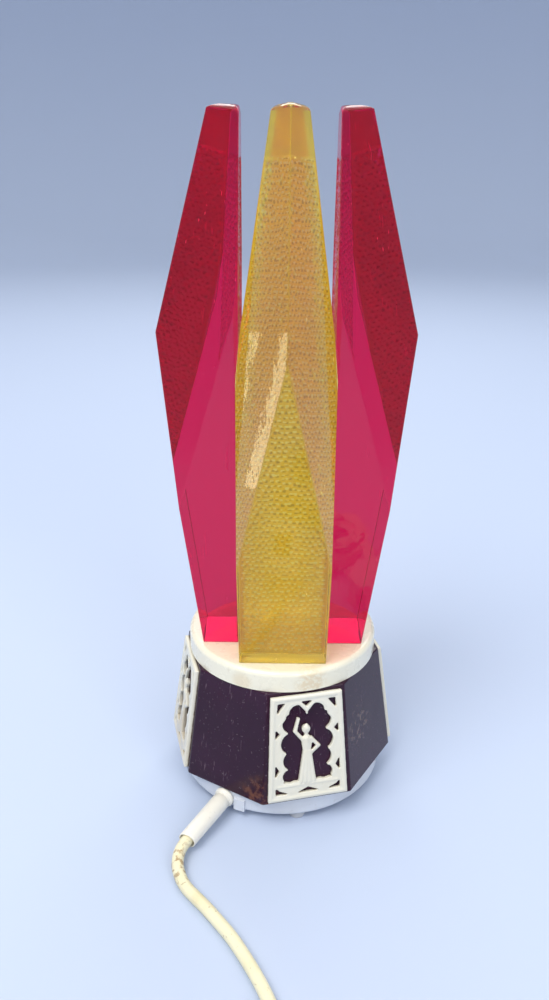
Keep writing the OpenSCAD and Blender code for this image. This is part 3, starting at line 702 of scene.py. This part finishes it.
def petal_mesh(name, half_cut, seed, azimuth, foot_glow):
    """One petal in metres: clear outer faces, hammered inner face and foot, and its tenon."""
    bm = solid_from(petal_planes(half_cut))
    bm.verts.layers.float.new(BUBBLE_GLINT)
    rounded(bm, [e for e in bm.edges if min(v.co.z for v in e.verts) > TIP_Z - 8], TOP_ROUND, 5)
    rounded(bm, crisp_edges(bm, 24), EDGE_ROUND, 3)
    bmesh.ops.remove_doubles(bm, verts=bm.verts, dist=0.01)
    for face in bm.faces:
        face.smooth = face.calc_area() < 60
    inner = max((f for f in bm.faces if f.normal.y > 0.99), key=lambda f: f.calc_area())
    foot = min(bm.faces, key=lambda f: f.normal.z)
    foot.material_index = 1
    # The foot face is painted with the glint colour as a glow, as strong as foot_glow.
    for vert in foot.verts:
        vert[bm.verts.layers.float[BUBBLE_GLINT]] = foot_glow
    for face in hammered_face(bm, inner, seed):
        face.smooth = True
        face.material_index = 1
    add_tenon(bm)
    bmesh.ops.recalc_face_normals(bm, faces=bm.faces)
    bmesh.ops.transform(bm, matrix=turned(azimuth) @ Matrix.Scale(MM, 4), verts=bm.verts)
    return mesh_of(name, bm)


# Side, azimuth, half width of the wedge at its back, seed of the bubbles, strength of the painted glow
# on the foot face.
PETALS = [
    ("front", 0, 18.0, 3, 0.9), ("right", 90, 22.6, 17, 0.2),
    ("back", 180, 18.0, 29, 0.9), ("left", -90, 22.6, 41, 0.2),
]
for side, azimuth, half_cut, seed, foot_glow in PETALS:
    name = f"petal_{side}_cut"
    piece_for(name, petal_mesh(name, half_cut, seed, azimuth, foot_glow), f"petal_{side}")


# ---- Skirt ------------------------------------------------------------------------------

SKIRT_TURN = 14.0
SKIRT_Z, SKIRT_H = 12.5, 51.0
SKIRT_FOOT_R, SKIRT_HEAD_R = 51.1, 43.4
SKIRT_T, SKIRT_RIM = 2.2, 0.55
OUT_CORNER, IN_CORNER, CORNER_STEPS = 1.5, 0.6, 6
APOTHEM = math.cos(math.radians(22.5))  # of an octagon whose corners lie on a circle of radius 1
FACE_FOOT, FACE_HEAD = SKIRT_FOOT_R * APOTHEM, SKIRT_HEAD_R * APOTHEM


def skirt_ring(up, pull, corner_r):
    """A round-cornered octagon at a height above the skirt's foot, drawn in from its outer faces."""
    apothem = FACE_FOOT + (FACE_HEAD - FACE_FOOT) * up / SKIRT_H - pull
    middle = (apothem - corner_r) / APOTHEM
    ring = []
    for k in range(8):
        turn = math.radians(SKIRT_TURN - 90 + 22.5 + 45 * k)
        for j in range(CORNER_STEPS + 1):
            a = turn + math.radians(45) * (j / CORNER_STEPS - 0.5)
            x = middle * math.cos(turn) + corner_r * math.cos(a)
            y = middle * math.sin(turn) + corner_r * math.sin(a)
            ring.append((x, y, SKIRT_Z + up))
    return ring


def skirt_mesh():
    """The skirt's wall, with softened rims."""
    foot = [(0, 0.5), (0.15, 0.2), (SKIRT_RIM, 0)]
    head = [(SKIRT_H - up, pull) for up, pull in reversed(foot)]
    rings = [skirt_ring(up, pull, OUT_CORNER) for up, pull in foot + head]
    rings += [skirt_ring(up, SKIRT_T, IN_CORNER) for up in (SKIRT_H, 0)]
    mesh = rings_mesh("skirt_shell", rings)
    smooth(mesh, 40)
    return mesh


weighted(piece_for("skirt_shell", skirt_mesh(), "skirt"))


# ---- Fretwork plaques -------------------------------------------------------------------

FACE_LEAN = math.atan((FACE_FOOT - FACE_HEAD) / SKIRT_H)
FACE_L = SKIRT_H / math.cos(FACE_LEAN)
PLAQUE_H, PLAQUE_W_FOOT, PLAQUE_W_HEAD = 48.4, 35.0, 30.4
BORDER_R, BORDER_Z, RELIEF_Z, FIGURE_Z = 1.25, 1.05, 1.2, 1.25


def face_matrix(azimuth):
    """From a plaque's own millimetres, X across, Y up the face and Z outwards, to the row frame."""
    return (
        turned(azimuth) @ Matrix.Scale(MM, 4) @ Matrix.Translation((0, -FACE_FOOT, SKIRT_Z))
        @ Matrix.Rotation(math.pi / 2 - FACE_LEAN, 4, "X")
        @ Matrix.Translation((0, (FACE_L - PLAQUE_H) / 2, 0))
    )


def capsule(bm, a, b, r_a, r_b, flat):
    """A round-ended limb between two points, tapering from one radius to the other."""
    a, b = Vector(a), Vector(b)
    steps = max(2, int((b - a).length / (0.5 * min(r_a, r_b))))
    for k in range(steps + 1):
        t = k / steps
        r = r_a + (r_b - r_a) * t
        ball = Matrix.Translation(a.lerp(b, t)) @ Matrix.Diagonal((r, r, r * flat, 1))
        bmesh.ops.create_icosphere(bm, subdivisions=2, radius=1.0, matrix=ball)


def half_width(up):
    """Half the plaque's width at a height up its face."""
    return (PLAQUE_W_FOOT + (PLAQUE_W_HEAD - PLAQUE_W_FOOT) * up / PLAQUE_H) / 2


def plaque_relief(source):
    """One plaque as a soft cast relief, in its own millimetres."""
    bm = bmesh.new()
    bm.from_mesh(source)
    bmesh.ops.transform(bm, matrix=face_matrix(SKIRT_TURN).inverted(), verts=bm.verts)
    bmesh.ops.scale(bm, vec=(1, 1, 0.80), verts=bm.verts)
    foot, head = half_width(0) - BORDER_R, half_width(PLAQUE_H) - BORDER_R
    top = PLAQUE_H - BORDER_R
    corners = [(-foot, BORDER_R), (foot, BORDER_R), (head, top), (-head, top)]
    for (ax, ay), (bx, by) in zip(corners, corners[1:] + corners[:1]):
        capsule(bm, (ax, ay, BORDER_Z), (bx, by, BORDER_Z), BORDER_R - 0.05, BORDER_R - 0.05, 0.92)
    drape = [
        (0, 41.0), (3.0, 44.6), (6.6, 44.8), (9.2, 41.4), (9.6, 38.6), (12.0, 35.4),
        (11.0, 31.6), (12.4, 27.2), (11.0, 22.6), (12.1, 18.4), (10.6, 14.2), (12.3, 10.2)
    ]
    for s in (-1, 1):
        for (ax, ay), (bx, by) in zip(drape, drape[1:]):
            capsule(bm, (s * ax, ay, RELIEF_Z), (s * bx, by, RELIEF_Z), 0.75, 0.75, 1.0)
    capsule(bm, (-13, 7.0, RELIEF_Z), (13, 7.0, RELIEF_Z), 0.95, 0.95, 0.9)
    figure_relief(bm)
    return bm


def figure_relief(bm):
    """A plain standing figure in a long dress, one arm raised and one hand on the hip."""
    z = FIGURE_Z
    head = z + 0.1
    capsule(bm, (-0.4, 33.0, head), (-0.4, 32.4, head), 1.55, 1.45, 0.75)
    capsule(bm, (-0.4, 34.0, z), (-0.2, 34.4, z), 0.9, 0.7, 0.8)  # hair
    capsule(bm, (-0.4, 31.2, z), (-0.3, 29.0, z), 0.75, 0.9, 0.8)  # neck
    capsule(bm, (-1.7, 28.2, z), (1.5, 28.1, z), 0.95, 0.95, 0.9)  # shoulders
    capsule(bm, (-0.3, 28.0, z), (-0.2, 22.8, z), 2.0, 1.35, 0.62)  # body
    for waist, hem, r in ((-0.9, -3.0, 1.0), (-0.3, -1.1, 1.1), (0.4, 0.8, 1.1), (0.9, 2.6, 1.0)):
        capsule(bm, (waist, 22.4, z), (hem, 8.2, z), r, r * 1.15, 0.85)  # a fold of the dress
    capsule(bm, (-2.0, 28.0, z), (-4.9, 31.8, z), 0.85, 0.7, 0.9)  # the raised arm
    capsule(bm, (-4.9, 31.8, z), (-3.7, 37.0, z), 0.7, 0.55, 0.9)
    capsule(bm, (1.7, 27.9, z), (4.6, 24.2, z), 0.85, 0.7, 0.9)  # the arm on the hip
    capsule(bm, (4.6, 24.2, z), (1.3, 21.2, z), 0.7, 0.6, 0.9)


def remeshed(mesh, voxel, rounds, share):
    """One closed skin around overlapping pieces, smoothed and thinned out."""
    holder = link("remesh_work", mesh)
    for kind, props in (
        ("REMESH", {"mode": "VOXEL", "voxel_size": voxel}),
        ("SMOOTH", {"factor": 0.5, "iterations": rounds}),
        ("DECIMATE", {"ratio": share}),
    ):
        mod = holder.modifiers.new(kind.lower(), kind)
        for key, value in props.items():
            setattr(mod, key, value)
    result = bpy.data.meshes.new_from_object(holder.evaluated_get(bpy.context.evaluated_depsgraph_get()))
    bpy.data.objects.remove(holder)
    return result


def plaques():
    """Casts one plaque and sets a copy of it on each of the four sides."""
    relief = plaque_relief(frame["nodes"]["plaque_front"].data)
    voxel = 0.28
    cast = remeshed(mesh_of("plaque_work", relief), voxel, 3, 0.55)
    for side, azimuth in (("front", 0), ("right", 90), ("back", 180), ("left", -90)):
        mesh = cast.copy()
        mesh.transform(face_matrix(SKIRT_TURN + azimuth))
        mesh.polygons.foreach_set("use_smooth", [True] * len(mesh.polygons))
        piece_for(f"plaque_{side}_cast", mesh, f"plaque_{side}")


plaques()


# ---- Turned and softened pieces ---------------------------------------------------------

def softened(node, width, body=BODY, segments=2):
    """A copy of a CAD node's shape with its edges rounded."""
    bm = bmesh.new()
    bm.from_mesh(frame["nodes"][node].data)
    bmesh.ops.scale(bm, vec=(1 / MM, 1 / MM, 1 / MM), verts=bm.verts)
    bmesh.ops.remove_doubles(bm, verts=bm.verts, dist=0.002)
    bmesh.ops.dissolve_limit(bm, angle_limit=math.radians(0.6), verts=bm.verts, edges=bm.edges)
    rounded(bm, crisp_edges(bm, 28), width, segments)
    bmesh.ops.scale(bm, vec=(MM, MM, MM), verts=bm.verts)
    mesh = mesh_of(f"{node}_soft", bm)
    smooth(mesh, 40)
    weighted(piece_for(f"{node}_soft", mesh, node, body))


TURNED_STEPS = 64


def turned_profile(name, profile, matrix):
    """A closed outline of (radius, height) pairs in mm, turned round its own Z and placed."""
    mesh = rings_mesh(name, [circle(radius, height, TURNED_STEPS) for radius, height in profile])
    mesh.transform(matrix)
    smooth(mesh, 50)
    return mesh


EXIT_TURN, EXIT_DROP, TRAY_R, EXIT_Z = -31.5, 5.6, 46.0, 7.8
exit_matrix = (
    turned(EXIT_TURN) @ Matrix.Translation(Vector((0, -TRAY_R, EXIT_Z)) * MM)
    @ Matrix.Rotation(math.radians(90 + EXIT_DROP), 4, "X")
)
GLAND = [
    (2.65, -4), (3.5, -4), (3.55, -3.9), (3.55, 0.3), (4.3, 0.3), (4.5, 0.45), (4.5, 1.5), (4.38, 1.7),
    (4.05, 1.85), (3.95, 2.0), (3.92, 2.6), (3.7, 2.75), (2.65, 2.75)
]
SLEEVE = [
    (3.1, 2.7), (3.7, 2.7), (3.86, 2.9), (3.88, 6), (3.82, 14), (3.72, 22), (3.64, 28.1), (3.58, 28.5),
    (3.45, 28.65), (3.2, 28.55), (3.1, 28.2), (3.1, 15)
]
SLEEVE_STIFF, SLEEVE_SOFT = 6, 20
MOUTH_SLANT, OUT_OF_ROUND = 0.9, 0.03
piece_for("cord_gland_turned", turned_profile("cord_gland_turned", GLAND, exit_matrix), "cord_gland")


def sleeve():
    """The soft tube over the cord, a little out of round, with a slanted mouth."""
    mesh = turned_profile("cord_sleeve_tube", SLEEVE, Matrix.Identity(4))
    for v in mesh.vertices:
        height = v.co.z / MM
        ring = math.atan2(v.co.y, v.co.x)
        ease = min(1.0, max(0.0, (height - SLEEVE_STIFF) / SLEEVE_SOFT))
        v.co.z -= ease * ease * MOUTH_SLANT * MM * (1 + math.cos(ring)) / 2
        squeeze = OUT_OF_ROUND * ease * math.cos(2 * ring + 0.6)
        v.co.x *= 1 + squeeze
        v.co.y *= 1 + squeeze
    mesh.transform(exit_matrix)
    piece_for("cord_sleeve_tube", mesh, "cord_sleeve")


sleeve()

EDGE_WIDTHS = {
    "base_tray": 0.35, "feet": 0.5, "cord_tie": 0.3, "switch_base": 0.5, "switch_cover": 0.5,
    "plug_lower": 0.9, "plug_upper": 0.9, "plug_pins": 0.25, "plug_screw": 0.2,
    "holder_body": 0.4, "holder_insert": 0.3, "bulb_cap": 0.15,
}
for node, width in EDGE_WIDTHS.items():
    softened(node, width)
softened("switch_rocker", 0.45, "rocker", 3)

for node, piece in frame["nodes"].items():
    if not piece.hide_render:
        piece.data.materials.clear()
        piece.data.materials.append(LOOKS[SLOT_OF[node]])


# ---- Floor and light --------------------------------------------------------------------

FLOOR_R, FLOOR_BEND, WALL_H, FLOOR_STEPS = 1.7, 0.6, 0.5, 96


def backdrop():
    """A wide pale floor that curves up into a far wall all round."""
    profile = [(0.02, 0), (FLOOR_R, 0)]
    for a in (math.radians(10 * k) for k in range(1, 10)):
        profile.append((FLOOR_R + FLOOR_BEND * math.sin(a), FLOOR_BEND * (1 - math.cos(a))))
    profile.append((FLOOR_R + FLOOR_BEND, FLOOR_BEND + WALL_H))
    bm = bmesh.new()
    rows = [[bm.verts.new(p) for p in circle(r, z, FLOOR_STEPS)] for r, z in profile]
    for low, high in zip(rows, rows[1:]):
        bridge(bm, low, high)
    bm.faces.new(rows[0])
    mesh = mesh_of("backdrop", bm)
    smooth(mesh, 60)
    piece = link("backdrop", mesh)
    look = Look("backdrop_look", (0.47, 0.54, 0.68), 0.85)
    look.paint(look.noise(3, 2), (0.45, 0.52, 0.67), 0.5)
    piece.data.materials.append(look.material)


backdrop()


def softbox(name, place, target, size, power, colour, seen=True):
    """A rectangular light that faces a target, seen by the camera or not."""
    data = bpy.data.lights.new(name, "AREA")
    data.shape = "RECTANGLE"
    data.size, data.size_y = size
    data.energy = power
    data.color = colour
    lamp = link(name, data)
    lamp.location = place
    lamp.rotation_euler = (Vector(target) - Vector(place)).to_track_quat("-Z", "Y").to_euler()
    lamp.visible_camera = seen


softbox("key_light", (-0.45, -0.55, 1.15), (0, 0, 0.12), (0.7, 0.7), 11, (1.0, 0.98, 0.95))
softbox("fill_light", (0.55, -1.05, 0.8), (0, 0, 0.12), (0.6, 0.6), 5.0, (0.98, 0.98, 1.0))
softbox("back_light", (0.1, 1.0, 1.0), (0, 0, 0.15), (1.2, 0.6), 6, (1.0, 1.0, 1.0))
STREAK_AT, STREAK_TINT = (-0.01, -0.04, 0.15), (1.0, 0.93, 0.55)
softbox("streak_wide", (-0.31, 0.13, 0.125), STREAK_AT, (0.008, 0.12), 0.009, STREAK_TINT, False)
softbox("streak_thin", (-0.30, 0.152, 0.135), STREAK_AT, (0.004, 0.09), 0.0030, STREAK_TINT, False)


def studio_sky():
    """An even, slightly cool sky that brightens from the horizon to overhead."""
    world = bpy.data.worlds.new("studio")
    world.use_nodes = True
    nodes, links = world.node_tree.nodes, world.node_tree.links
    sky = nodes["Background"]
    sky.inputs["Color"].default_value = (0.90, 0.93, 0.97, 1)
    split = nodes.new("ShaderNodeSeparateXYZ")
    links.new(nodes.new("ShaderNodeTexCoord").outputs["Generated"], split.inputs["Vector"])
    rise = nodes.new("ShaderNodeMapRange")
    rise.interpolation_type = "SMOOTHSTEP"
    for key, value in (("From Min", 0.15), ("From Max", 0.9), ("To Min", 0.25), ("To Max", 1.1)):
        rise.inputs[key].default_value = value
    links.new(split.outputs["Z"], rise.inputs["Value"])
    links.new(rise.outputs["Result"], sky.inputs["Strength"])
    scene.world = world


studio_sky()
BOUNCES = 32
scene.view_settings.view_transform = "Standard"
for kind in ("max_bounces", "transmission_bounces", "glossy_bounces"):
    setattr(scene.cycles, kind, BOUNCES)
scene.cycles.use_denoising = True

bpy.context.view_layer.update()
